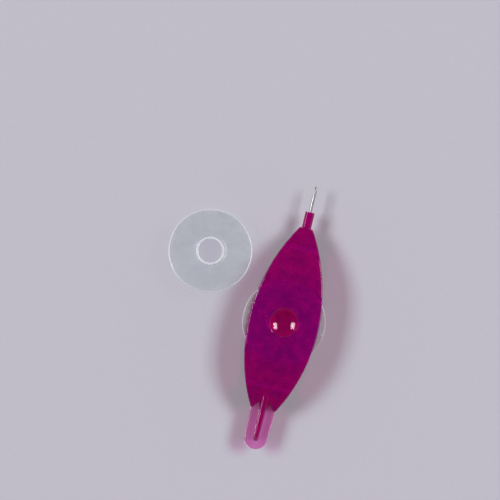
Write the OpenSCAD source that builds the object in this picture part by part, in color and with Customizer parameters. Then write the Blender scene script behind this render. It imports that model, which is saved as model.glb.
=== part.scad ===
// Tatting shuttle: two bowed leaf-shaped blades, joined at their ends, pinch a thread bobbin between a pair
// of dimples. A steel crochet hook is clamped in a collar at one end. The other end is a winding post with
// four fins, which wedges in the bore of a bobbin. A second, like bobbin lies beside the shuttle.
// +Y runs along the shuttle to the hook, +Z is square to the blades. The origin is on the flat belly that the
// shuttle rests on, on the bobbin's axis. Sizes are in millimetres.

/* [Blades] */
// Width of the blades at their widest
blade_w = 20; // [16:0.5:26]
// Thickness of a blade's wall
wall = 1.2; // [0.8:0.1:1.6]
// Distance from the bobbin's axis back to the widest place, towards the post
widest_back = 0.9; // [0:0.1:3]
// Distance from the bobbin's axis to the shoulder at the hook end
hook_reach = 27.7; // [23:0.1:36]
// Distance from the bobbin's axis to the shoulder at the post end
post_reach = 25.7; // [21.4:0.1:34]
// Width of the shoulder at the hook end
shoulder_w = 3.8; // [3.2:0.1:6]
// Thickness of the closed shuttle at both shoulders
tip_t = 2.6; // [2.2:0.1:4]
// Length of the solid land where the blades are joined at the hook end
hook_land = 5; // [4:0.1:6]
// Length of the solid land where the blades are joined at the post end
post_land = 5.8; // [4.8:0.1:7]
// Distance from the bobbin's rim in to the end of the flat belly
belly_inset = 4; // [2:0.1:5]
// Diameter of the peg that lines the blades up at the post end
peg_d = 1.4; // [1:0.1:1.8]
// Height of that peg
peg_h = 1; // [0.5:0.1:1.4]
// Clearance round the peg
peg_gap = 0.05; // [0.02:0.01:0.1]

/* [Dimples] */
// Diameter of a dimple in the outer face
dimple_d = 8.4; // [7:0.1:11]
// Depth of a dimple
dimple_depth = 1.4; // [1.2:0.05:1.8]
// Clearance between a dimple's inner side and the rim of the bobbin's bore
pivot_gap = 0.05; // [0.02:0.01:0.1]

/* [Bobbins] */
// Diameter of a bobbin's flanges
bobbin_d = 24; // [18:0.5:29]
// Thickness of a flange
flange_t = 0.8; // [0.6:0.05:1.2]
// Room for thread between the flanges
thread_gap = 4.8; // [4.2:0.1:6]
// Diameter of the bore
bore_d = 6.8; // [5.6:0.1:8.2]
// Thickness of the hub's wall
hub_wall = 0.7; // [0.5:0.05:1.2]
// Height of the hub's rim above the flange
hub_rim = 0.2; // [0.1:0.05:0.4]
// Gap between the two bobbins' rims
spare_gap = 5.4; // [2:0.1:20]
// Direction from the shuttle's bobbin to the spare one, in degrees from +X
spare_dir = 149.3; // [130:0.1:200]

/* [Winding post] */
// Length of the post beyond the shoulder
post_l = 11.7; // [9:0.1:14]
// How much wider than the bore the side fins are at the shoulder
post_grip = 0.4; // [0.2:0.05:0.8]
// How much narrower than the bore they are at the tip
post_play = 0.3; // [0.1:0.05:0.6]
// Thickness of the side fins
fin_t = 0.8; // [0.6:0.05:1.2]
// Distance that the upright fins stop short of the tip
rib_short = 2.6; // [1:0.1:4]
// Thickness of the upright fins at the shoulder
rib_root_t = 1.8; // [1.4:0.1:2.4]
// Thickness of the upright fins at their end
rib_tip_t = 1; // [0.8:0.05:1.4]
// How much lower than the bore the upright fins are at the shoulder
rib_root_play = 0.4; // [0.2:0.1:1]
// How much lower than the bore they are at their end
rib_tip_play = 1.4; // [0.6:0.1:2]
// Depth of the notches in the blades beside the upright fins
notch_l = 2.4; // [1:0.1:3.4]
// Width of a notch at the shoulder
notch_w = 2.4; // [1:0.1:2.6]

/* [Collar and hook] */
// Length of the collar beyond the shoulder
collar_l = 4.7; // [3:0.1:7]
// Width of the collar
collar_w = 2.7; // [2.2:0.1:3.2]
// Chamfer along the collar's edges
collar_chamfer = 0.6; // [0.2:0.05:0.8]
// Diameter of the hook's shank
hook_d = 0.85; // [0.6:0.05:1.1]
// Length of the hook beyond the collar
hook_l = 7.6; // [5:0.1:12]
// Length of shank held inside the shoulder
hook_hold = 4; // [2:0.1:4.2]
// Clearance round the shank in its groove
hook_gap = 0.02; // [0.01:0.01:0.05]
// Length of the upset head that keeps the hook from pulling out
head_l = 0.6; // [0.4:0.1:1]
// Overhang of the head round the shank
head_lip = 0.3; // [0.1:0.05:0.4]
// Length of the hook's rounded point
point_l = 0.75; // [0.5:0.05:1]
// Distance from the tip to the inside of the throat
throat_back = 1.3; // [1:0.05:1.8]
// Radius of the throat's floor
throat_r = 0.1; // [0.06:0.01:0.12]

/* [Hidden] */
$fn = 96;
// How far one solid reaches into another that it is joined to
bite = 0.5;
// How far a cut runs past a face
past = 1;

bobbin_r = bobbin_d / 2;
bore_r = bore_d / 2;
hub_r = bore_r + hub_wall;
hub_half = thread_gap / 2 + flange_t + hub_rim;

// A dimple is a cap of a sphere, and its inner side is a cap of a sphere one wall larger
dimple_r = (pow(dimple_d / 2, 2) + pow(dimple_depth, 2)) / (2 * dimple_depth);
pivot_r = dimple_r + wall;
// Depth below a blade's inner face at which the pivot cap fits the rim of the bore
seat_depth = sqrt(pow(pivot_r, 2) - pow(bore_r - pivot_gap, 2)) - (pivot_r - dimple_depth);
inner_h = hub_half + seat_depth;
outer_h = inner_h + wall;
mid_z = outer_h;
belly_half = bobbin_r - belly_inset;

post_root_w = bore_d + post_grip;
post_tip_w = bore_d - post_play;
post_tip_y = post_reach + post_l;
rib_end_y = post_tip_y - rib_short;
rib_start_y = post_reach - post_land;
collar_end_y = hook_reach + collar_l;
hook_tip_y = collar_end_y + hook_l;
hook_r = hook_d / 2;

spare_x = (bobbin_d + spare_gap) * cos(spare_dir);
spare_y = (bobbin_d + spare_gap) * sin(spare_dir);

// Radius of an arc that leaves a straight line square on and has fallen by drop after length run
function arc_r(run, drop) = (run * run + drop * drop) / (2 * drop);

// One end of the leaf outline, from its widest place to a shoulder at distance run
module leaf_end(run, end_w) {
    r = arc_r(run, (blade_w - end_w) / 2);
    intersection() {
        translate([r - blade_w / 2, 0]) circle(r, $fn = 360);
        translate([blade_w / 2 - r, 0]) circle(r, $fn = 360);
        translate([-blade_w / 2, 0]) square([blade_w, run]);
    }
}

// The blades' outline from above
module leaf() {
    translate([0, -widest_back]) {
        leaf_end(hook_reach + widest_back, shoulder_w);
        mirror([0, 1]) leaf_end(post_reach - widest_back, post_root_w);
    }
}

// One end of a blade's bow from the side: the flat belly, then an arc that falls to the shoulder. inset is 0
// for the outer face and the wall's thickness for the inner face, and stop is where the face ends.
module bow_end(reach, inset, stop) {
    r = arc_r(reach - belly_half, outer_h - tip_t / 2);
    square([belly_half, outer_h - inset]);
    intersection() {
        translate([belly_half, outer_h - r]) circle(r - inset, $fn = 360);
        translate([belly_half, 0]) square([stop - belly_half, outer_h]);
    }
}

// A blade from the side, above the middle plane: bowed over the bobbin, and solid at both ends
module bow() {
    difference() {
        union() {
            bow_end(hook_reach, 0, hook_reach);
            mirror([1, 0]) bow_end(post_reach, 0, post_reach);
        }
        translate([0, -past]) square([past, past]);
        bow_end(hook_reach, wall, hook_reach - hook_land);
        mirror([1, 0]) bow_end(post_reach, wall, post_reach - post_land);
    }
}

// A profile drawn along Y and Z, drawn out to a width along X
module across(width) {
    rotate([90, 0, 90]) translate([0, 0, -width / 2]) linear_extrude(width) children();
}

// Cap of a sphere that points down into the blade from above its belly
module cap(r) {
    translate([0, 0, outer_h - dimple_depth + dimple_r]) sphere(r);
}

// The two side fins, a paddle with a round end
module side_fins() {
    tip_r = post_tip_w / 2;
    tip_y = -post_tip_y + tip_r;
    root_y = -post_reach + notch_l + bite;
    linear_extrude(fin_t / 2) {
        translate([0, tip_y]) circle(tip_r);
        polygon([[-tip_r, tip_y], [tip_r, tip_y], [post_root_w / 2, -post_reach], [post_root_w / 2, root_y],
                 [-post_root_w / 2, root_y], [-post_root_w / 2, -post_reach]]);
    }
}

// One upright fin: a wedge from above and from the side, with its end rounded both ways
module upright_fin() {
    root_h = (bore_d - rib_root_play) / 2;
    tip_h = (bore_d - rib_tip_play) / 2;
    nose_r = tip_h * 0.8;
    intersection() {
        linear_extrude(root_h + past) {
            translate([0, -rib_end_y + rib_tip_t / 2]) circle(rib_tip_t / 2);
            polygon([[-rib_tip_t / 2, -rib_end_y + rib_tip_t / 2], [rib_tip_t / 2, -rib_end_y + rib_tip_t / 2],
                     [rib_root_t / 2, -rib_start_y], [-rib_root_t / 2, -rib_start_y]]);
        }
        across(rib_root_t + past) {
            translate([-rib_end_y + nose_r, tip_h - nose_r]) circle(nose_r);
            polygon([[-rib_end_y, 0], [-rib_end_y, tip_h - nose_r], [-rib_end_y + nose_r, tip_h - nose_r],
                     [-rib_end_y + nose_r, tip_h], [-rib_start_y, root_h], [-rib_start_y, 0]]);
        }
    }
}

// Notches in the blade's end, one each side of the upright fin, down to the side fins
module notches() {
    inner_x = rib_root_t / 2;
    apex_x = inner_x + notch_w / 4;
    translate([0, 0, fin_t / 2]) linear_extrude(outer_h)
        for (side = [-1, 1])
            polygon([[side * inner_x, -post_reach - past], [side * inner_x, -post_reach],
                     [side * apex_x, -post_reach + notch_l], [side * (inner_x + notch_w), -post_reach],
                     [side * (inner_x + notch_w), -post_reach - past]]);
}

// Half of the collar, a bar with chamfered edges
module half_collar() {
    half_w = collar_w / 2;
    half_t = tip_t / 2;
    translate([0, collar_end_y, 0]) rotate([90, 0, 0]) linear_extrude(collar_l + bite)
        polygon([[-half_w, 0], [half_w, 0], [half_w, half_t - collar_chamfer], [half_w - collar_chamfer, half_t],
                 [collar_chamfer - half_w, half_t], [-half_w, half_t - collar_chamfer]]);
}

// The space that the hook's shank and its upset head need in the blades
module hook_seat(gap) {
    start_y = hook_reach - hook_hold;
    translate([0, collar_end_y + past, 0]) rotate([90, 0, 0]) cylinder(r = hook_r + gap, h = collar_l + hook_hold + past);
    translate([0, start_y + head_l + gap, 0]) rotate([90, 0, 0])
        cylinder(r = hook_r + head_lip + gap, h = head_l + 2 * gap);
}

// The half of the shuttle above its middle plane, which the other half mirrors
module half_shuttle() {
    difference() {
        union() {
            difference() {
                intersection() {
                    linear_extrude(outer_h + past) leaf();
                    across(blade_w + past) bow();
                }
                notches();
            }
            intersection() {
                cap(pivot_r);
                cylinder(r = pivot_r, h = outer_h - wall / 2);
            }
            side_fins();
            upright_fin();
            half_collar();
        }
        cap(dimple_r);
        hook_seat(hook_gap);
    }
}

// Place of the peg, on the axis in the solid land at the post end
module at_peg() {
    translate([0, -post_reach + post_land - peg_d, 0]) children();
}

// Upper blade, with a socket for the peg
module upper_blade() {
    color([0.55, 0.05, 0.36, 0.85]) translate([0, 0, mid_z]) difference() {
        half_shuttle();
        at_peg() translate([0, 0, -past]) cylinder(d = peg_d + 2 * peg_gap, h = past + peg_h + peg_gap);
    }
}

// Lower blade, with the peg
module lower_blade() {
    color([0.5, 0.04, 0.33, 0.85]) translate([0, 0, mid_z]) {
        mirror([0, 0, 1]) half_shuttle();
        at_peg() translate([0, 0, -bite]) cylinder(d = peg_d, h = bite + peg_h);
    }
}

// Steel hook: a shank with an upset head in the blades, and a throat and a rounded point outside
module crochet_hook() {
    start_y = hook_reach - hook_hold;
    nose_r = hook_r * 0.55;
    color([0.75, 0.76, 0.78]) translate([0, 0, mid_z]) difference() {
        translate([0, start_y, 0]) rotate([-90, 0, 0]) rotate_extrude() {
            square([hook_r + head_lip, head_l]);
            square([hook_r, hook_tip_y - point_l - start_y]);
            translate([0, hook_tip_y - point_l - start_y])
                polygon([[0, 0], [hook_r, 0], [nose_r, point_l - nose_r], [0, point_l - nose_r]]);
            intersection() {
                translate([0, hook_tip_y - nose_r - start_y]) circle(nose_r);
                translate([0, hook_tip_y - 2 * nose_r - start_y]) square([nose_r, 2 * nose_r]);
            }
        }
        translate([0, hook_tip_y - throat_back, -hook_d]) linear_extrude(2 * hook_d) {
            circle(throat_r);
            polygon([[throat_r, 0], [0, -throat_r], [-hook_r * 1.2, -hook_d * 1.4], [-hook_d, -hook_d * 1.4],
                     [-hook_d, hook_r], [0, throat_r]]);
        }
    }
}

// A bobbin about its own centre: two round-edged flanges on a bored hub
module spool() {
    rotate_extrude() {
        translate([bore_r, -hub_half]) square([hub_wall, 2 * hub_half]);
        for (side = [-1, 1]) {
            flange_z = side * (thread_gap + flange_t) / 2;
            translate([bobbin_r - flange_t / 2, flange_z]) circle(flange_t / 2, $fn = 48);
            translate([hub_r - hub_wall / 2, flange_z - flange_t / 2])
                square([bobbin_r - flange_t / 2 - hub_r + hub_wall / 2, flange_t]);
        }
    }
}

// The bobbin in the shuttle
module bobbin() {
    color([0.85, 0.88, 0.92, 0.5]) translate([0, 0, mid_z]) spool();
}

// The spare bobbin, standing on its hub's rim beside the shuttle
module spare_bobbin() {
    color([0.85, 0.88, 0.92, 0.5]) translate([spare_x, spare_y, hub_half]) spool();
}

upper_blade();
lower_blade();
crochet_hook();
bobbin();
spare_bobbin();
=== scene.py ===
"""Looks of a tatting shuttle: translucent magenta blades, a steel crochet hook and two clear bobbins.

Sizes are in millimetres in the shuttle's own frame, as in the part's source, and become metres where a mesh
is made. +Y runs to the hook, +Z is up, and the origin is on the rest face below the bobbin's axis.
"""

import math

import bmesh
import bpy
import numpy as np
from mathutils import Matrix, Vector


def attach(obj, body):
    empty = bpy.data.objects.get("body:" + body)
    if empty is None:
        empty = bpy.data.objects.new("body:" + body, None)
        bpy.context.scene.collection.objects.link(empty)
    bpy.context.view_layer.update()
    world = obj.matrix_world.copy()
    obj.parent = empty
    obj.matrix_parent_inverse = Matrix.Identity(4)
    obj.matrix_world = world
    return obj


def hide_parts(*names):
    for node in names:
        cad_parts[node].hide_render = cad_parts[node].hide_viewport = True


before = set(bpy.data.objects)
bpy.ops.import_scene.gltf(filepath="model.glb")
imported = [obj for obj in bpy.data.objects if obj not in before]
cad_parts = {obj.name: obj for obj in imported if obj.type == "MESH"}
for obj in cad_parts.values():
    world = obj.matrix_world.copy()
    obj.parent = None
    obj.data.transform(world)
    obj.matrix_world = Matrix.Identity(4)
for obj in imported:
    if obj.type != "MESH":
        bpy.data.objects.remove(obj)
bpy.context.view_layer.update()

MM = 0.001

# Blades
BLADE_W = 20.0
WALL = 1.2
WIDEST_BACK = 0.9
HOOK_REACH = 27.7
POST_REACH = 25.7
SHOULDER_W = 3.8
TIP_T = 2.6
HOOK_LAND = 5.0
POST_LAND = 5.8
BELLY_INSET = 4.0
PEG_D = 1.4
PEG_H = 1.0
PEG_GAP = 0.05
PEG_Y = 21.3
LEAF_CORNER_R = 0.35
OUTER_EDGE_R = 0.42
INNER_EDGE_R = 0.3
CAVITY_END_R = 0.8
JOIN_OVERLAP = 0.5

# Dimples and bobbins
DIMPLE_D = 8.4
DIMPLE_DEPTH = 1.4
DIMPLE_EDGE_R = 0.1
PIVOT_GAP = 0.05
PIVOT_FILLET_R = 0.35
BOBBIN_D = 24.0
FLANGE_T = 0.8
THREAD_GAP = 4.8
BORE_D = 6.8
HUB_WALL = 0.7
HUB_RIM = 0.2
BORE_EDGE_R = 0.15
HUB_EDGE_R = 0.1
HUB_FOOT_R = 0.08
HUB_FILLET_R = 0.3
FLANGE_EDGE_R = 0.36
SPARE_GAP = 5.4
SPARE_DIR = math.radians(149.3)

# Winding post
POST_L = 11.7
POST_GRIP = 0.4
POST_PLAY = 0.3
FIN_T = 0.8
RIB_SHORT = 2.6
RIB_ROOT_T = 1.8
RIB_TIP_T = 1.0
RIB_ROOT_PLAY = 0.4
RIB_TIP_PLAY = 1.4
NOTCH_L = 2.4
NOTCH_W = 2.4
NOTCH_EDGE_R = 0.12
FIN_EDGE_R = 0.26
RIB_EDGE_R = 0.32
RIB_NOSE_SHARE = 0.8
FIN_FILLET_R = 0.3
POST_FILLET_R = 0.2

# Collar and hook. The throat's two walls are given by the directions that they face
COLLAR_L = 4.7
COLLAR_W = 2.7
COLLAR_CHAMFER = 0.6
COLLAR_EDGE_R = 0.1
COLLAR_END_R = 0.12
COLLAR_FILLET_R = 0.25
HOOK_D = 0.85
HOOK_L = 7.6
HOOK_HOLD = 4.0
HOOK_GAP = 0.02
HEAD_L = 0.6
HEAD_LIP = 0.3
POINT_L = 0.75
POINT_NOSE_SHARE = 0.55
POINT_BLEND_R = 0.12
HEAD_EDGE_R = 0.1
HEAD_FILLET_R = 0.08
THROAT_BACK = 1.3
THROAT_R = 0.1
THROAT_EDGE_R = 0.05
THROAT_RAMP = (0.906, -0.424)
THROAT_BARB = (0.357, 0.934)

# Finish of the meshes. The dimples are turned, with a rim of their own, in place of those of the field
SKIN = 0.01
NET_STEP = 0.16
NET_MARGIN = 0.4
HOOK_NET_STEP = 0.05
HOOK_NET_MARGIN = 0.2
HOOK_NET_SIDE = 0.1
SLIDE_ROUNDS = 4
SLIDE_PROBE = 0.004
LEAST_SLOPE_SQUARED = 0.25
PARTING_GAP = 0.01
PARTING_BEVEL = 0.05
ARC_STEPS = 6
PEG_STEPS = 48
LATHE_STEPS = 256
DIMPLE_RIM_R = 0.15
DIMPLE_RINGS = 26
DIMPLE_STEPS = 128
DIMPLE_BRIM = 0.05
PATCH_REACH = 0.55
PATCH_DEPTH = 0.1
CUT_TOLERANCE = 1e-8
NO_LENGTH = 1e-6

# How far before and after a place the blades' finish changes, and NOTCH_SIDE off the axis
FIN_FADE = 0.3
NOTCH_FADE = 0.8
NOTCH_SIDE = (3.3, 3.1)
FIN_ROOT = (0.45, 0.1)
DIMPLE_FADE = (0.4, 0.6)
BOBBIN_FADE = 0.5
END_FADE = 8
LAND_FADE = (2, 0.8)
COLLAR_FADE = 0.6

# How far inside or outside an edge the whiter rings on the bobbins begin, and where they are full. The ring
# on the flanges' rims is a painted highlight
PROUD_FADE = (0.12, 0.04)
HUB_WHITE_RING = (0.3, 0.1)
FLANGE_HIGHLIGHT = (0.45, 0.2)

# Screen colours, 0 to 255. A pair is what a cloud runs between
WALL_TINTS = ((196, 0, 184), (212, 0, 172))
# Painted shade of the bobbin behind the blade: the wall tints are darker and bluer over the bobbin's disc,
# and the end tints lighter and redder past its rim and towards the ends
END_TINTS = ((212, 0, 174), (226, 0, 162))
# Painted light through the bobbin's bore: the dimple, which lies over the bore, is redder and less blue
DIMPLE_TINTS = ((212, 0, 152), (228, 0, 140))
SOLID_TINTS = ((142, 0, 102), (158, 0, 97))
OUTSIDE_TINT = (168, 0, 110)
# Flakes are real specks in the plastic, and their lighter colour is a painted glint that stands in for their
# sparkle
FLAKE_TINT = (232, 84, 190)
STEEL_TINTS = ((150, 149, 150), (176, 175, 174))
PAPER_TINTS = ((197, 193, 205), (201, 197, 209))

# Linear colours. A depth tint is what thick plastic turns light to, a shade what it lets through to a shadow
FIN_TINT = (1.0, 0.72, 0.93)
BLADE_DEPTH_TINT = (0.85, 0.0, 0.65)
BLADE_SHADE = (0.62, 0.05, 0.42)
FIN_SHADE = (0.94, 0.84, 0.92)
CLEAR_TINT = (0.92, 0.945, 0.95)
# Whiter, less clear colour on the bobbins' rims. On the flanges' rims it is a painted highlight
WHITE_RIM_TINT = (0.90, 0.91, 0.94)
CLEAR_DEPTH_TINT = (0.60, 0.62, 0.72)
CLEAR_SHADE = (0.975, 0.977, 0.985)

# Finish of the materials. A pair of values is what a noise runs between
PLASTIC_IOR = 1.49
CLOUD_SPAN = (0.35, 0.65)
GRAIN_SPAN = (0.3, 0.7)
BLADE_CLOUD_SIZE = 2.4
BLADE_CLEAR = (0.82, 0.76)
SOLID_CLEAR = 0.25
FIN_CLEAR = 0.93
SOLID_TINT_FROM = 0.8
BLADE_ROUGH = (0.03, 0.07)
BLADE_GRAIN_SIZE = 0.8
PEEL_SIZE = 2.2
FLAKE_SIZE = 0.24
FLAKE_REACH = 0.4
FLAKE_RARITY = 0.95
FLAKE_STRENGTH = 0.3
FLAKE_CLEAR = 0.4
BOBBIN_CLEAR = (0.95, 0.91)
BOBBIN_HAZE = (0.08, 0.20)
WHITE_RIM_CLEAR = 0.3
FROST_ROUGH = 0.6
HUB_WHITE_SHARE = 0.7
FLANGE_HIGHLIGHT_SHARE = 0.55
BLADE_DENSITY = 1000.0
CLEAR_DENSITY = 40.0
STEEL_ROUGH = (0.24, 0.36)
PAPER_ROUGH = 0.8
MARK_SIZE = 0.12
MARK_SQUEEZE = 0.05
SKIN_BUMP = 0.006
MARK_BUMP = 0.001

# Noises: the size of a blob, the detail and the roughness
HAZE_NOISE = (3.0, 4.0, 0.6)
SCUFF_NOISE = (0.35, 5.0, 0.7)
CLEARNESS_NOISE = (2.0, 3.0)
STAIN_NOISE = (1.5, 3.0)
PAPER_NOISE = (1.2, 3.0)

# The picture. The camera's height over the shuttle, the floor and the lamps are in metres
TILT_DEG = 13.57
VIEW_X = -14.25
VIEW_Y = 17.86
VIEW_WIDTH = 143.5
CAMERA_FAR = 0.65
CAMERA_CLIP = (0.05, 20)
SENSOR_W = 36.0
FLOOR_SIZE = 4.0
FLOOR_DROP = 0.00002
ROOM_LIGHT = (0.54, 0.515, 0.59, 1)
ROOM_DARK = (0.02, 0.02, 0.02, 1)
ROOM_FADE = (0.12, 0.45)
LAMP_ACROSS = 0.66
LAMP_UP = 0.21
LAMP_OVER = 0.72
LAMP_FAR = 12.0
LAMP_W = 3.6
LAMP_H = 5.7
LAMP_RADIANCE = 13.8
BOUNCES = 32

# Sizes that follow from those
BORE_R = BORE_D / 2
HUB_R = BORE_R + HUB_WALL
HUB_HALF = THREAD_GAP / 2 + FLANGE_T + HUB_RIM
BOBBIN_R = BOBBIN_D / 2
DIMPLE_R = ((DIMPLE_D / 2) ** 2 + DIMPLE_DEPTH**2) / (2 * DIMPLE_DEPTH)
PIVOT_R = DIMPLE_R + WALL
SEAT_DEPTH = math.sqrt(PIVOT_R**2 - (BORE_R - PIVOT_GAP) ** 2) - (PIVOT_R - DIMPLE_DEPTH)
INNER_H = HUB_HALF + SEAT_DEPTH
OUTER_H = INNER_H + WALL
MID_Z = OUTER_H
DIMPLE_Z = OUTER_H - DIMPLE_DEPTH + DIMPLE_R
BELLY_HALF = BOBBIN_R - BELLY_INSET
POST_ROOT_W = BORE_D + POST_GRIP
POST_TIP_W = BORE_D - POST_PLAY
POST_TIP_Y = POST_REACH + POST_L
RIB_END_Y = POST_TIP_Y - RIB_SHORT
RIB_START_Y = POST_REACH - POST_LAND
COLLAR_END_Y = HOOK_REACH + COLLAR_L
HOOK_TIP_Y = COLLAR_END_Y + HOOK_L
SHANK_START_Y = HOOK_REACH - HOOK_HOLD
SPARE_X = (BOBBIN_D + SPARE_GAP) * math.cos(SPARE_DIR)
SPARE_Y = (BOBBIN_D + SPARE_GAP) * math.sin(SPARE_DIR)


def arc_r(run, drop):
    """Radius of an arc that leaves a straight line square on and has fallen by drop after length run."""
    return (run * run + drop * drop) / (2 * drop)


# Distance fields. A field is negative inside the plastic, and its value is about the distance to the surface.


def cut_round(a, b, r):
    """What lies inside both fields, with the edge between them rounded to radius r."""
    return np.minimum(-r, np.maximum(a, b)) + np.hypot(np.maximum(a + r, 0), np.maximum(b + r, 0))


def join_round(a, b, r):
    """What lies inside either field, with a fillet of radius r between them."""
    return np.maximum(r, np.minimum(a, b)) - np.hypot(np.maximum(r - a, 0), np.maximum(r - b, 0))


def shell_field(x, y, z):
    """The two bowed blades as one closed form, with solid lands at both ends.

    Here and in the fields below, x and z are distances from the middle and never negative.
    """
    hook_side = y > -WIDEST_BACK
    r = np.where(hook_side, arc_r(HOOK_REACH + WIDEST_BACK, (BLADE_W - SHOULDER_W) / 2),
                 arc_r(POST_REACH - WIDEST_BACK, (BLADE_W - POST_ROOT_W) / 2))
    side = np.hypot(x + r - BLADE_W / 2, y + WIDEST_BACK) - r
    ends = np.maximum(y - HOOK_REACH, -POST_REACH - y)
    leaf = cut_round(side, ends, LEAF_CORNER_R)
    fall = OUTER_H - TIP_T / 2
    bow_r = np.where(y > 0, arc_r(HOOK_REACH - BELLY_HALF, fall), arc_r(POST_REACH - BELLY_HALF, fall))
    past_belly = np.maximum(np.abs(y) - BELLY_HALF, 0)
    from_centre = np.hypot(past_belly, z - (OUTER_H - bow_r))
    outer = from_centre - bow_r
    inner = from_centre - (bow_r - WALL)
    cavity_ends = np.maximum(y - (HOOK_REACH - HOOK_LAND), -(POST_REACH - POST_LAND) - y)
    cavity = cut_round(inner, cavity_ends, CAVITY_END_R)
    plate = cut_round(leaf, outer, OUTER_EDGE_R)
    return cut_round(plate, -cavity, INNER_EDGE_R)


def cap_field(x, y, z, r):
    """A sphere that points down into the blade from above its belly."""
    return np.sqrt(x * x + y * y + (z - DIMPLE_Z) ** 2) - r


def notch_field(x, y, z):
    """A notch in the blade's end beside the upright fin, above the side fins."""
    inner_x = RIB_ROOT_T / 2
    apex_x = inner_x + NOTCH_W / 4
    apex_y = -POST_REACH + NOTCH_L
    inner_leg = np.array([apex_x - inner_x, NOTCH_L])
    outer_leg = np.array([apex_x - inner_x - NOTCH_W, NOTCH_L])
    inner_leg = inner_leg / np.linalg.norm(inner_leg)
    outer_leg = outer_leg / np.linalg.norm(outer_leg)
    beyond_inner = (y - apex_y) * inner_leg[0] - (x - apex_x) * inner_leg[1]
    beyond_outer = (x - apex_x) * outer_leg[1] - (y - apex_y) * outer_leg[0]
    wedge = cut_round(beyond_inner, beyond_outer, NOTCH_EDGE_R)
    return np.maximum(wedge, FIN_T / 2 - z)


def side_fin_field(x, y, z):
    """The two side fins, a paddle with a round end."""
    tip_r = POST_TIP_W / 2
    tip_y = -POST_TIP_Y + tip_r
    share = (y - tip_y) / (-POST_REACH - tip_y)
    half_w = tip_r + (POST_ROOT_W / 2 - tip_r) * np.clip(share, 0, 1)
    outline = np.where(y > tip_y, x - half_w, np.hypot(x, y - tip_y) - tip_r)
    outline = np.maximum(outline, y - (-POST_REACH + NOTCH_L + JOIN_OVERLAP))
    return cut_round(outline, z - FIN_T / 2, FIN_EDGE_R)


def upright_fin_field(x, y, z):
    """The two upright fins: wedges from above and from the side, with a round nose."""
    share = np.clip((y + RIB_END_Y) / (RIB_END_Y - RIB_START_Y), 0, 1)
    half_t = (RIB_TIP_T + (RIB_ROOT_T - RIB_TIP_T) * share) / 2
    tip_h = (BORE_D - RIB_TIP_PLAY) / 2
    root_h = (BORE_D - RIB_ROOT_PLAY) / 2
    top = z - (tip_h + (root_h - tip_h) * share)
    profile = cut_round(top, -RIB_END_Y - y, tip_h * RIB_NOSE_SHARE)
    profile = np.maximum(profile, y + RIB_START_Y)
    return cut_round(x - half_t, profile, RIB_EDGE_R)


def collar_field(x, y, z):
    """The collar, a bar with chamfered edges."""
    flat = np.maximum(x - COLLAR_W / 2, z - TIP_T / 2)
    chamfer = (x + z - (COLLAR_W + TIP_T) / 2 + COLLAR_CHAMFER) / math.sqrt(2)
    bar = cut_round(flat, chamfer, COLLAR_EDGE_R)
    ends = np.maximum(y - COLLAR_END_Y, HOOK_REACH - JOIN_OVERLAP - y)
    return cut_round(bar, ends, COLLAR_END_R)


def shuttle_field(points):
    """Both blades, the post and the collar, about the middle plane."""
    x, y, z = np.abs(points[:, 0]), points[:, 1], np.abs(points[:, 2])
    body = cut_round(shell_field(x, y, z), -notch_field(x, y, z), NOTCH_EDGE_R)
    pivot = np.maximum(cap_field(x, y, z, PIVOT_R), z - (OUTER_H - WALL / 2))
    body = join_round(body, pivot, PIVOT_FILLET_R)
    body = cut_round(body, -cap_field(x, y, z, DIMPLE_R), DIMPLE_EDGE_R)
    post = join_round(side_fin_field(x, y, z), upright_fin_field(x, y, z), FIN_FILLET_R)
    body = join_round(body, post, POST_FILLET_R)
    body = join_round(body, collar_field(x, y, z), COLLAR_FILLET_R)
    return np.maximum(body, HOOK_GAP - hook_field(points)) + SKIN


def hook_field(points):
    """The steel hook: shank, upset head, throat and rounded point, about its own axis."""
    x, y, z = points[:, 0], points[:, 1], points[:, 2]
    across = np.hypot(x, z)
    hook_r = HOOK_D / 2
    nose_r = hook_r * POINT_NOSE_SHARE
    slope = (hook_r - nose_r) / (POINT_L - nose_r)
    cone = (across - nose_r - (HOOK_TIP_Y - nose_r - y) * slope) / math.hypot(1, slope)
    nose = np.hypot(across, np.maximum(y - (HOOK_TIP_Y - nose_r), 0)) - nose_r
    point = np.where(y > HOOK_TIP_Y - nose_r, nose, cone)
    shank = cut_round(across - hook_r, point, POINT_BLEND_R)
    head_ends = np.abs(y - SHANK_START_Y - HEAD_L / 2) - HEAD_L / 2
    head = cut_round(across - hook_r - HEAD_LIP, head_ends, HEAD_EDGE_R)
    from_throat = y - (HOOK_TIP_Y - THROAT_BACK)
    below_ramp = x * THROAT_RAMP[0] + from_throat * THROAT_RAMP[1] - THROAT_R
    above_barb = x * THROAT_BARB[0] + from_throat * THROAT_BARB[1] - THROAT_R
    throat = cut_round(below_ramp, above_barb, THROAT_R)
    wire = np.maximum(join_round(shank, head, HEAD_FILLET_R), SHANK_START_Y - y)
    return cut_round(wire, -throat, THROAT_EDGE_R)


def corner_offsets():
    """The 8 corners of a cell, as steps from its lowest corner."""
    return np.array([[i, j, k] for i in (0, 1) for j in (0, 1) for k in (0, 1)])


def net_points(values, cells, low, step):
    """One point in each cell that the surface crosses: the mean of the crossings on the cell's edges."""
    corners = corner_offsets()
    at = values[tuple((cells[:, None, :] + corners[None]).reshape(-1, 3).T)].reshape(-1, 8)
    total = np.zeros((len(cells), 3))
    count = np.zeros((len(cells), 1))
    for a in range(8):
        for b in range(a + 1, 8):
            if np.abs(corners[a] - corners[b]).sum() != 1:
                continue
            crossed = (at[:, a] < 0) != (at[:, b] < 0)
            share = at[:, a] / np.where(crossed, at[:, a] - at[:, b], 1)
            place = corners[a] + (corners[b] - corners[a]) * share[:, None]
            total += place * crossed[:, None]
            count += crossed[:, None]
    return low + (cells + total / count) * step


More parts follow.
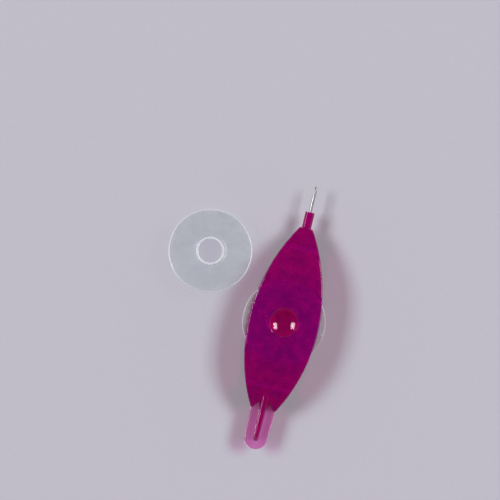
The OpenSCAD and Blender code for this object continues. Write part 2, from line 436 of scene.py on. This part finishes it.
def net_quads(inside, number):
    """The faces of the surface: one round each grid edge that it crosses."""
    quads = []
    for axis in range(3):
        u, v = (axis + 1) % 3, (axis + 2) % 3
        a = np.take(inside, range(inside.shape[axis] - 1), axis)
        b = np.take(inside, range(1, inside.shape[axis]), axis)
        edges = np.argwhere(a != b)
        edges = edges[(edges[:, u] > 0) & (edges[:, v] > 0)]
        edges = edges[(edges[:, u] < number.shape[u]) & (edges[:, v] < number.shape[v])]
        ring = []
        for du, dv in ((0, 0), (-1, 0), (-1, -1), (0, -1)):
            cell = edges.copy()
            cell[:, u] += du
            cell[:, v] += dv
            ring.append(number[tuple(cell.T)])
        ring = np.stack(ring, 1)
        flip = ~a[tuple(edges.T)]
        ring[flip] = ring[flip][:, ::-1]
        quads.append(ring)
    return np.concatenate(quads)


def slide_onto(field, points):
    """Moves points onto the field's zero level, along its slope."""
    probes = np.eye(3) * SLIDE_PROBE
    for _ in range(SLIDE_ROUNDS):
        value = field(points)
        slope = np.stack([(field(points + d) - field(points - d)) / (2 * SLIDE_PROBE) for d in probes], 1)
        points = points - slope * (value / np.maximum((slope**2).sum(1), LEAST_SLOPE_SQUARED))[:, None]
    return points


def net_mesh(field, low, high, step):
    """Points and faces of the field's surface in a box, on a grid of that step."""
    low = np.array(low, float)
    counts = np.ceil((np.array(high) - low) / step).astype(int) + 1
    values = np.empty(counts)
    ys, zs = low[1] + np.arange(counts[1]) * step, low[2] + np.arange(counts[2]) * step
    plane = np.stack(np.meshgrid([0.0], ys, zs, indexing="ij"), -1).reshape(-1, 3)
    for i in range(counts[0]):
        plane[:, 0] = low[0] + i * step
        values[i] = field(plane).reshape(counts[1], counts[2])
    inside = values < 0
    near = np.zeros(counts - 1, int)
    for i, j, k in corner_offsets():
        near += inside[i:i + counts[0] - 1, j:j + counts[1] - 1, k:k + counts[2] - 1]
    cells = np.argwhere((near > 0) & (near < 8))
    number = np.full(counts - 1, -1)
    number[tuple(cells.T)] = np.arange(len(cells))
    points = net_points(values, cells, low, step)
    return slide_onto(field, points), net_quads(inside, number)


def new_object(name, points, faces):
    """A smooth-shaded object from points in millimetres."""
    mesh = bpy.data.meshes.new(name)
    mesh.vertices.add(len(points))
    mesh.vertices.foreach_set("co", (np.asarray(points) * MM).astype(np.float32).ravel())
    faces = np.asarray(faces)
    mesh.loops.add(faces.size)
    mesh.loops.foreach_set("vertex_index", faces.ravel().astype(np.int32))
    mesh.polygons.add(len(faces))
    mesh.polygons.foreach_set("loop_start", np.arange(0, faces.size, faces.shape[1], dtype=np.int32))
    mesh.update(calc_edges=True)
    mesh.validate()
    mesh.polygons.foreach_set("use_smooth", [True] * len(mesh.polygons))
    obj = bpy.data.objects.new(name, mesh)
    bpy.context.scene.collection.objects.link(obj)
    return obj


def open_dimples(points, faces):
    """Leaves out the faces of both dimples and of the belly close round them, for press_dimple to fill."""
    across = np.hypot(points[:, 0], points[:, 1])
    height = np.abs(points[:, 2])
    on_dimple = np.abs(cap_field(across, 0, height, DIMPLE_R)) < PATCH_DEPTH
    on_belly = height > OUTER_H - PATCH_DEPTH
    taken = (across < DIMPLE_D / 2 + PATCH_REACH) & (on_dimple | on_belly)
    return faces[~taken[faces].all(1)]


def dimple_outline():
    """The dimple's section as (r, z) about the middle plane, from the belly over the rim to the centre."""
    belly_z = OUTER_H - SKIN
    ball_r = DIMPLE_R + SKIN
    drop = DIMPLE_Z - belly_z + DIMPLE_RIM_R
    rim_x = math.sqrt((ball_r + DIMPLE_RIM_R) ** 2 - drop**2)
    slope = math.atan2(rim_x, drop)
    outline = [(rim_x + DIMPLE_BRIM, belly_z)]
    for turn in np.linspace(0, slope, ARC_STEPS + 1):
        fall = DIMPLE_RIM_R * (1 - math.cos(turn))
        outline.append((rim_x - DIMPLE_RIM_R * math.sin(turn), belly_z - fall))
    for turn in np.linspace(slope, 0, DIMPLE_RINGS)[1:]:
        outline.append((ball_r * math.sin(turn), DIMPLE_Z - ball_r * math.cos(turn)))
    return outline


def fill_flat(bm, edges, facing, smooth):
    """Fills a flat outline with triangles that face up (facing 1) or down (facing -1)."""
    filled = bmesh.ops.triangle_fill(bm, edges=edges, use_beauty=True, normal=(0, 0, facing))["geom"]
    for face in filled:
        if isinstance(face, bmesh.types.BMFace):
            face.smooth = smooth
            if face.normal.z * facing < 0:
                face.normal_flip()


def press_dimple(bm, side):
    """Fills the opening that open_dimples left on one side with a turned dimple and flat belly round it."""
    opening = [e for e in bm.edges if e.is_boundary and e.verts[0].co.z * side > MM]
    turns = np.arange(DIMPLE_STEPS) * 2 * math.pi / DIMPLE_STEPS * side
    *outline, (_, lowest) = dimple_outline()
    rings = []
    for r, z in outline:
        ring = [Vector((r * math.cos(t), r * math.sin(t), z * side)) * MM for t in turns]
        rings.append([bm.verts.new(co) for co in ring])
    centre = bm.verts.new((0, 0, lowest * side * MM))
    for i in range(DIMPLE_STEPS):
        for outer, inner in zip(rings, rings[1:]):
            bm.faces.new((outer[i - 1], outer[i], inner[i], inner[i - 1])).smooth = True
        bm.faces.new((rings[-1][i - 1], rings[-1][i], centre)).smooth = True
    opening += [bm.edges.get((rings[0][i - 1], rings[0][i])) for i in range(DIMPLE_STEPS)]
    fill_flat(bm, opening, side, True)


def peg_or_socket(bm, side):
    """The lower blade's peg (side -1) or the upper one's socket. Returns the ring where it meets the land."""
    r, reach = (PEG_D / 2, PEG_H) if side < 0 else (PEG_D / 2 + PEG_GAP, PEG_H + PEG_GAP)
    turns = np.arange(PEG_STEPS) * 2 * math.pi / PEG_STEPS
    ring = [Vector((r * math.cos(t), r * math.sin(t) - PEG_Y, PARTING_GAP * side)) * MM for t in turns]
    foot = [bm.verts.new(co) for co in ring]
    head = [bm.verts.new(co + Vector((0, 0, reach * MM))) for co in ring]
    cap = bm.faces.new(head if side < 0 else head[::-1])
    cap.smooth = False
    for i in range(PEG_STEPS):
        wall = [foot[i - 1], foot[i], head[i], head[i - 1]]
        bm.faces.new(wall if side < 0 else wall[::-1]).smooth = True
    for e in cap.edges:
        e.smooth = False
    return [bm.edges.get((foot[i - 1], foot[i])) for i in range(PEG_STEPS)]


def half_blade(name, points, faces, side):
    """The blade on one side of the middle plane (side 1 is up), closed by a flat face with a fine bevel."""
    reach = (points[faces][:, :, 2] * side).max(1)
    faces = faces[reach > 0]
    used, faces = np.unique(faces, return_inverse=True)
    points = points[used]
    faces = faces.reshape(-1, 4)
    bm = bmesh.new()
    obj = new_object(name, points, faces)
    bm.from_mesh(obj.data)
    press_dimple(bm, side)
    for height, clear in ((PARTING_GAP + PARTING_BEVEL, False), (PARTING_GAP, True)):
        bmesh.ops.bisect_plane(
            bm, geom=bm.verts[:] + bm.edges[:] + bm.faces[:], dist=CUT_TOLERANCE,
            plane_co=(0, 0, height * side * MM), plane_no=(0, 0, side), clear_inner=clear,
        )
    rim = [e for e in bm.edges if e.is_boundary]
    bm.normal_update()
    for v in {v for e in rim for v in e.verts}:
        inward = Vector((-v.normal.x, -v.normal.y, 0))
        if inward.length > NO_LENGTH:
            v.co += inward.normalized() * PARTING_BEVEL * MM
    rim += peg_or_socket(bm, side)
    fill_flat(bm, rim, -side, False)
    for e in rim:
        e.smooth = False
    bm.to_mesh(obj.data)
    bm.free()
    obj.data.transform(Matrix.Translation((0, 0, MID_Z * MM)))
    return obj


def rounded(corners):
    """A closed outline from corners (r, z, radius), with each corner turned into an arc."""
    outline = []
    for i, (r, z, radius) in enumerate(corners):
        at = np.array([r, z])
        before = np.array(corners[i - 1][:2]) - at
        after = np.array(corners[(i + 1) % len(corners)][:2]) - at
        before = before / np.linalg.norm(before)
        after = after / np.linalg.norm(after)
        centre = at + (before + after) * radius
        for turn in np.linspace(0, math.pi / 2, ARC_STEPS + 1):
            outline.append(centre - after * radius * math.cos(turn) - before * radius * math.sin(turn))
    return np.array(outline)


def lathe(name, outline, place):
    """A ring with that closed outline, about a vertical axis through place."""
    turns = np.arange(LATHE_STEPS) * 2 * math.pi / LATHE_STEPS
    count = len(outline)
    rings = np.stack([
        np.outer(np.cos(turns), outline[:, 0]),
        np.outer(np.sin(turns), outline[:, 0]),
        np.tile(outline[:, 1], (LATHE_STEPS, 1)),
    ], -1).reshape(-1, 3)
    i, j = np.meshgrid(np.arange(LATHE_STEPS), np.arange(count), indexing="ij")
    here, along = i * count + j, i * count + (j + 1) % count
    beside = (i + 1) % LATHE_STEPS * count
    faces = np.stack([here, along, beside + (j + 1) % count, beside + j], -1).reshape(-1, 4)
    ring = new_object(name, rings, faces)
    ring.location = Vector(place) * MM
    return ring


def spool_outline():
    """The bobbin's section: a hub that stands a little proud, and two flanges with round rims."""
    face = THREAD_GAP / 2 + FLANGE_T
    inner = THREAD_GAP / 2
    edge = BOBBIN_R - SKIN
    return rounded([
        (BORE_R, -HUB_HALF, BORE_EDGE_R), (BORE_R, HUB_HALF, BORE_EDGE_R),
        (HUB_R, HUB_HALF, HUB_EDGE_R), (HUB_R, face, HUB_FOOT_R),
        (edge, face, FLANGE_EDGE_R), (edge, inner, FLANGE_EDGE_R),
        (HUB_R, inner, HUB_FILLET_R), (HUB_R, -inner, HUB_FILLET_R),
        (edge, -inner, FLANGE_EDGE_R), (edge, -face, FLANGE_EDGE_R),
        (HUB_R, -face, HUB_FOOT_R), (HUB_R, -HUB_HALF, HUB_EDGE_R),
    ])


# Materials


def srgb(r, g, b):
    """A colour given as on a screen, 0 to 255, as the shader's linear colour."""
    shares = (r / 255, g / 255, b / 255)
    return tuple(c / 12.92 if c <= 0.04045 else ((c + 0.055) / 1.055) ** 2.4 for c in shares)


class Shader:
    """A material's node tree, with short calls for the nodes that the finishes share."""

    def __init__(self, name):
        self.material = bpy.data.materials.new(name)
        self.material.use_nodes = True
        self.nodes = self.material.node_tree.nodes
        self.links = self.material.node_tree.links
        self.nodes.clear()
        self.out = self.add("ShaderNodeOutputMaterial")
        self.place = self.add("ShaderNodeTexCoord").outputs["Object"]

    def add(self, kind, **settings):
        """A new node. A setting is an input's name, with _ for a space, or else a property of the node."""
        node = self.nodes.new(kind)
        for name, value in settings.items():
            socket = node.inputs.get(name.replace("_", " "))
            if hasattr(node, name):
                setattr(node, name, value)
            elif isinstance(value, bpy.types.NodeSocket):
                self.links.new(value, socket)
            else:
                colour = isinstance(value, tuple) and len(value) == 3
                socket.default_value = (*value, 1) if colour else value
        return node

    def noise(self, size, detail=2.0, roughness=0.5):
        """Noise whose blobs are about size millimetres across."""
        return self.add("ShaderNodeTexNoise", Vector=self.place, Scale=1 / (size * MM), Detail=detail,
                        Roughness=roughness).outputs["Fac"]

    def ramp(self, value, low, high, to_low=0.0, to_high=1.0):
        """Value from low to high, spread over to_low to to_high and held there beyond."""
        return self.add("ShaderNodeMapRange", Value=value, From_Min=low, From_Max=high, To_Min=to_low,
                        To_Max=to_high).outputs["Result"]

    def fade(self, value, low, high, to_low=0.0, to_high=1.0):
        """A ramp of a distance, with low and high in millimetres."""
        return self.ramp(value, low * MM, high * MM, to_low, to_high)

    def blend(self, share, a, b):
        """Colour a turning into colour b."""
        node = self.add("ShaderNodeMix", data_type="RGBA")
        for socket, value in ((node.inputs[0], share), (node.inputs[6], a), (node.inputs[7], b)):
            if isinstance(value, bpy.types.NodeSocket):
                self.links.new(value, socket)
            else:
                socket.default_value = (*value, 1)
        return node.outputs[2]

    def math(self, operation, a, b=0.0):
        """One sum on two values."""
        node = self.add("ShaderNodeMath", operation=operation)
        for socket, value in zip(node.inputs, (a, b)):
            if isinstance(value, bpy.types.NodeSocket):
                self.links.new(value, socket)
            else:
                socket.default_value = value
        return node.outputs[0]

    def clouded(self, cloud, tints):
        """The colour between two screen colours that a cloud gives."""
        return self.blend(cloud, srgb(*tints[0]), srgb(*tints[1]))

    def from_axis(self, at):
        """Distance from the upright axis through the piece's origin."""
        squares = [self.math("POWER", at[axis], 2.0) for axis in ("X", "Y")]
        return self.math("SQRT", self.math("ADD", *squares))

    def bump(self, height, depth):
        """A normal from a height of 0 to 1 that stands for depth millimetres."""
        bump = self.add("ShaderNodeBump", Height=height, Distance=depth * MM, Strength=1.0)
        return bump.outputs["Normal"]

    def finish(self, surface, volume=None):
        """Joins the shaders to the output."""
        self.links.new(surface, self.out.inputs["Surface"])
        if volume is not None:
            self.links.new(volume, self.out.inputs["Volume"])
        return self.material

    def lit_through(self, glass, tint):
        """Glass that lamps shine through, so that it casts a tinted shadow."""
        shadow = self.add("ShaderNodeLightPath").outputs["Is Shadow Ray"]
        clear = self.add("ShaderNodeBsdfTransparent", Color=tint).outputs[0]
        mix = self.add("ShaderNodeMixShader", Fac=shadow)
        self.links.new(glass, mix.inputs[1])
        self.links.new(clear, mix.inputs[2])
        return mix.outputs[0]


def blade_plastic():
    """Pearly magenta plastic with fine sparkle and a glossy skin. It is clearer where it is thinner. Its
    colour holds painted shade and light from what lies behind the wall: darker and bluer over the bobbin's
    flanges, redder over the bore under the dimple and past the bobbin's rim.
    """
    s = Shader("blade_plastic")
    at = s.add("ShaderNodeSeparateXYZ", Vector=s.place).outputs
    off_middle = s.math("ABSOLUTE", s.math("SUBTRACT", at["Z"], MID_Z * MM))
    off_axis = s.math("ABSOLUTE", at["X"])
    off_centre = s.from_axis(at)

    behind = s.fade(at["Y"], -POST_REACH, -(POST_REACH + FIN_FADE))
    notch_y = NOTCH_L - POST_REACH
    along_notch = s.fade(at["Y"], notch_y, notch_y - NOTCH_FADE)
    in_notch = s.math("MULTIPLY", along_notch, s.fade(off_axis, *NOTCH_SIDE))
    near_middle = s.fade(off_middle, FIN_T / 2 + FIN_ROOT[0], FIN_T / 2 + FIN_ROOT[1])
    fin = s.math("MULTIPLY", s.math("MAXIMUM", behind, in_notch), near_middle)
    # Painted light through the bobbin's bore, which lies under the dimple, so no flange darkens it
    dimple = s.fade(off_centre, DIMPLE_D / 2 + DIMPLE_FADE[0], DIMPLE_D / 2 - DIMPLE_FADE[1])
    # Painted shade of the bobbin seen through the wall: the colour changes at the bobbin's rim and fades on
    # towards the ends
    past_bobbin = s.fade(off_centre, BOBBIN_R - BOBBIN_FADE, BOBBIN_R + BOBBIN_FADE)
    towards_end = s.fade(off_centre, BOBBIN_R, BOBBIN_R + END_FADE)
    ends = s.math("MULTIPLY", s.math("ADD", past_bobbin, towards_end), 0.5)
    hook_land_y = HOOK_REACH - HOOK_LAND
    post_land_y = POST_LAND - POST_REACH
    hook_land = s.fade(at["Y"], hook_land_y - LAND_FADE[0], hook_land_y + LAND_FADE[1])
    post_land = s.fade(at["Y"], post_land_y + LAND_FADE[0], post_land_y - LAND_FADE[1])
    solid = s.math("MAXIMUM", hook_land, post_land)
    outside = s.math("MAXIMUM", behind, s.fade(at["Y"], HOOK_REACH, HOOK_REACH + COLLAR_FADE))

    cloud = s.ramp(s.noise(BLADE_CLOUD_SIZE), *CLOUD_SPAN)
    wall_tint = s.blend(ends, s.clouded(cloud, WALL_TINTS), s.clouded(cloud, END_TINTS))
    wall_tint = s.blend(dimple, wall_tint, s.clouded(cloud, DIMPLE_TINTS))
    solid_tint = s.blend(outside, s.clouded(cloud, SOLID_TINTS), srgb(*OUTSIDE_TINT))
    tint = s.blend(s.ramp(solid, 0, SOLID_TINT_FROM), wall_tint, solid_tint)
    tint = s.blend(fin, tint, FIN_TINT)

    # Flakes of pigment, painted lighter and less clear: the specks are real, and their lighter colour is a
    # painted glint
    flakes = s.add("ShaderNodeTexVoronoi", Vector=s.place, Scale=1 / (FLAKE_SIZE * MM))
    pick = s.add("ShaderNodeSeparateColor", Color=flakes.outputs["Color"]).outputs["Red"]
    rare = s.math("GREATER_THAN", pick, FLAKE_RARITY)
    flake = s.math("MULTIPLY", rare, s.math("LESS_THAN", flakes.outputs["Distance"], FLAKE_REACH))
    flake = s.math("MULTIPLY", flake, s.ramp(fin, 0, 1, FLAKE_STRENGTH, 0.0))

    passing = s.ramp(solid, 0, 1, s.ramp(cloud, 0, 1, *BLADE_CLEAR), SOLID_CLEAR)
    passing = s.math("MAXIMUM", passing, s.math("MULTIPLY", fin, FIN_CLEAR))
    passing = s.math("MULTIPLY", passing, s.ramp(flake, 0, 1, 1.0, FLAKE_CLEAR))
    glass = s.add(
        "ShaderNodeBsdfPrincipled", Base_Color=s.blend(flake, tint, srgb(*FLAKE_TINT)), IOR=PLASTIC_IOR,
        Transmission_Weight=passing, Roughness=s.ramp(s.noise(BLADE_GRAIN_SIZE), *GRAIN_SPAN, *BLADE_ROUGH),
        Normal=s.bump(s.noise(PEEL_SIZE), SKIN_BUMP),
    )
    volume = s.add("ShaderNodeVolumeAbsorption", Color=BLADE_DEPTH_TINT, Density=BLADE_DENSITY)
    shade = s.blend(fin, BLADE_SHADE, FIN_SHADE)
    return s.finish(s.lit_through(glass.outputs[0], shade), volume.outputs[0])


def bobbin_plastic():
    """Clear plastic, faintly clouded on its faces, and whiter, less clear and rougher on the hub's raised
    ring and on the flanges' rims. The white ring on the flanges' rims is a painted highlight.
    """
    s = Shader("bobbin_plastic")
    at = s.add("ShaderNodeSeparateXYZ", Vector=s.place).outputs
    across = s.from_axis(at)
    proud = s.fade(s.math("ABSOLUTE", at["Z"]), HUB_HALF - PROUD_FADE[0], HUB_HALF - PROUD_FADE[1])
    on_hub = s.fade(across, HUB_R + HUB_WHITE_RING[0], HUB_R + HUB_WHITE_RING[1], 0, HUB_WHITE_SHARE)
    # A painted highlight: a whiter, less clear ring on the flanges' rims
    flange_highlight = s.fade(across, BOBBIN_R - FLANGE_HIGHLIGHT[0], BOBBIN_R - FLANGE_HIGHLIGHT[1], 0, FLANGE_HIGHLIGHT_SHARE)
    rim = s.math("MAXIMUM", s.math("MULTIPLY", proud, on_hub), flange_highlight)
    haze = s.ramp(s.noise(*HAZE_NOISE), *CLOUD_SPAN, *BOBBIN_HAZE)
    face_clear = s.ramp(s.noise(*CLEARNESS_NOISE), *CLOUD_SPAN, *BOBBIN_CLEAR)
    glass = s.add(
        "ShaderNodeBsdfPrincipled", Base_Color=s.blend(rim, CLEAR_TINT, WHITE_RIM_TINT), IOR=PLASTIC_IOR,
        Transmission_Weight=s.ramp(rim, 0, 1, face_clear, WHITE_RIM_CLEAR),
        Roughness=s.math("MAXIMUM", haze, s.math("MULTIPLY", rim, FROST_ROUGH)),
        Normal=s.bump(s.noise(*SCUFF_NOISE), SKIN_BUMP),
    )
    volume = s.add("ShaderNodeVolumeAbsorption", Color=CLEAR_DEPTH_TINT, Density=CLEAR_DENSITY)
    return s.finish(s.lit_through(glass.outputs[0], CLEAR_SHADE), volume.outputs[0])


def hook_steel():
    """Drawn steel wire, with fine marks along it and a faint stain."""
    s = Shader("hook_steel")
    stretch = s.add("ShaderNodeMapping", vector_type="POINT")
    s.links.new(s.place, stretch.inputs["Vector"])
    stretch.inputs["Scale"].default_value = (1, MARK_SQUEEZE, 1)
    marks = s.add("ShaderNodeTexNoise", Vector=stretch.outputs[0], Scale=1 / (MARK_SIZE * MM), Detail=3.0)
    marks = marks.outputs["Fac"]
    metal = s.add(
        "ShaderNodeBsdfPrincipled", Metallic=1.0, Base_Color=s.clouded(s.noise(*STAIN_NOISE), STEEL_TINTS),
        Roughness=s.ramp(marks, *GRAIN_SPAN, *STEEL_ROUGH), Normal=s.bump(marks, MARK_BUMP),
    )
    return s.finish(metal.outputs[0])


def floor_paper():
    """A plain pale surface with the faintest grain."""
    s = Shader("floor_paper")
    paper = s.add(
        "ShaderNodeBsdfPrincipled", Base_Color=s.clouded(s.noise(*PAPER_NOISE), PAPER_TINTS),
        Roughness=PAPER_ROUGH, Specular_IOR_Level=0.0,
    )
    return s.finish(paper.outputs[0])


# The pieces

plastic, clear, steel = blade_plastic(), bobbin_plastic(), hook_steel()


def place(piece, node, body, slot, material):
    """Puts a piece on its body in place of its CAD node, with its finish."""
    piece.data.materials.append(material)
    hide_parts(node)
    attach(piece, body)


body_points, body_faces = net_mesh(
    shuttle_field, (-BLADE_W / 2 - NET_MARGIN, -POST_TIP_Y - NET_MARGIN, -OUTER_H - NET_MARGIN),
    (BLADE_W / 2 + NET_MARGIN, COLLAR_END_Y + NET_MARGIN, OUTER_H + NET_MARGIN), NET_STEP,
)
body_faces = open_dimples(body_points, body_faces)
for side, title in ((1, "upper"), (-1, "lower")):
    blade = half_blade(f"{title}_blade_shell", body_points, body_faces, side)
    place(blade, f"{title}_blade", "shuttle", "blade_plastic", plastic)

hook_side = HOOK_D / 2 + HEAD_LIP + HOOK_NET_SIDE
hook_points, hook_faces = net_mesh(
    hook_field, (-hook_side, SHANK_START_Y - HOOK_NET_MARGIN, -hook_side),
    (hook_side, HOOK_TIP_Y + HOOK_NET_MARGIN, hook_side), HOOK_NET_STEP,
)
hook = new_object("steel_hook", hook_points + (0, 0, MID_Z), hook_faces)
place(hook, "crochet_hook", "shuttle", "hook_steel", steel)

wound = lathe("clear_bobbin", spool_outline(), (0, 0, MID_Z))
place(wound, "bobbin", "wound_bobbin", "bobbin_plastic", clear)
spare = lathe("clear_spare_bobbin", spool_outline(), (SPARE_X, SPARE_Y, HUB_HALF))
place(spare, "spare_bobbin", "loose_bobbin", "bobbin_plastic", clear)


# The floor

floor_mesh = bpy.data.meshes.new("floor")
half = FLOOR_SIZE / 2
floor_corners = [(-half, -half, 0), (half, -half, 0), (half, half, 0), (-half, half, 0)]
floor_mesh.from_pydata(floor_corners, [], [(0, 1, 2, 3)])
floor = bpy.data.objects.new("floor", floor_mesh)
floor.location.z = -FLOOR_DROP
bpy.context.scene.collection.objects.link(floor)
floor_mesh.materials.append(floor_paper())


# The camera looks straight down, turned by the shuttle's tilt in the picture

tilt = math.radians(TILT_DEG)
right = Vector((math.cos(tilt), math.sin(tilt), 0))
up = Vector((-math.sin(tilt), math.cos(tilt), 0))
centre = Vector((VIEW_X, VIEW_Y, MID_Z)) * MM

camera_data = bpy.data.cameras.new("camera")
camera_data.sensor_width = SENSOR_W
camera_data.lens = SENSOR_W * CAMERA_FAR / (VIEW_WIDTH * MM)
camera_data.clip_start, camera_data.clip_end = CAMERA_CLIP
camera = bpy.data.objects.new("camera", camera_data)
camera.location = centre + Vector((0, 0, CAMERA_FAR))
camera.rotation_euler = (0, 0, tilt)
bpy.context.scene.collection.objects.link(camera)
bpy.context.scene.camera = camera


# Light: a soft room that is darker overhead, and two soft boxes, left and right of the camera

world = bpy.data.worlds.new("room")
world.use_nodes = True
bpy.context.scene.world = world
tree = world.node_tree
tree.nodes.clear()
way = tree.nodes.new("ShaderNodeTexCoord")
height = tree.nodes.new("ShaderNodeSeparateXYZ")
room = tree.nodes.new("ShaderNodeValToRGB")
glow = tree.nodes.new("ShaderNodeBackground")
end = tree.nodes.new("ShaderNodeOutputWorld")
tree.links.new(way.outputs["Generated"], height.inputs[0])
tree.links.new(height.outputs["Z"], room.inputs[0])
tree.links.new(room.outputs[0], glow.inputs["Color"])
tree.links.new(glow.outputs[0], end.inputs["Surface"])
for stop, height_share, colour in zip(room.color_ramp.elements, ROOM_FADE, (ROOM_LIGHT, ROOM_DARK)):
    stop.position = height_share
    stop.color = colour

for name, across in (("left", -LAMP_ACROSS), ("right", LAMP_ACROSS)):
    lamp_data = bpy.data.lights.new(f"softbox_{name}", "AREA")
    lamp_data.shape = "RECTANGLE"
    lamp_data.size = LAMP_W
    lamp_data.size_y = LAMP_H
    lamp_data.energy = LAMP_RADIANCE * math.pi * LAMP_W * LAMP_H
    lamp = bpy.data.objects.new(f"softbox_{name}", lamp_data)
    towards = (right * across + up * LAMP_UP + Vector((0, 0, 1)) * LAMP_OVER).normalized()
    lamp.location = Vector((0, 0, MID_Z * MM)) + towards * LAMP_FAR
    beside = up.cross(towards).normalized()
    lamp.rotation_euler = Matrix((beside, towards.cross(beside), towards)).transposed().to_euler()
    bpy.context.scene.collection.objects.link(lamp)

scene = bpy.context.scene
scene.view_settings.view_transform = "Standard"
scene.cycles.caustics_reflective = False
scene.cycles.caustics_refractive = False
scene.cycles.max_bounces = BOUNCES
scene.cycles.transmission_bounces = BOUNCES
scene.cycles.transparent_max_bounces = BOUNCES
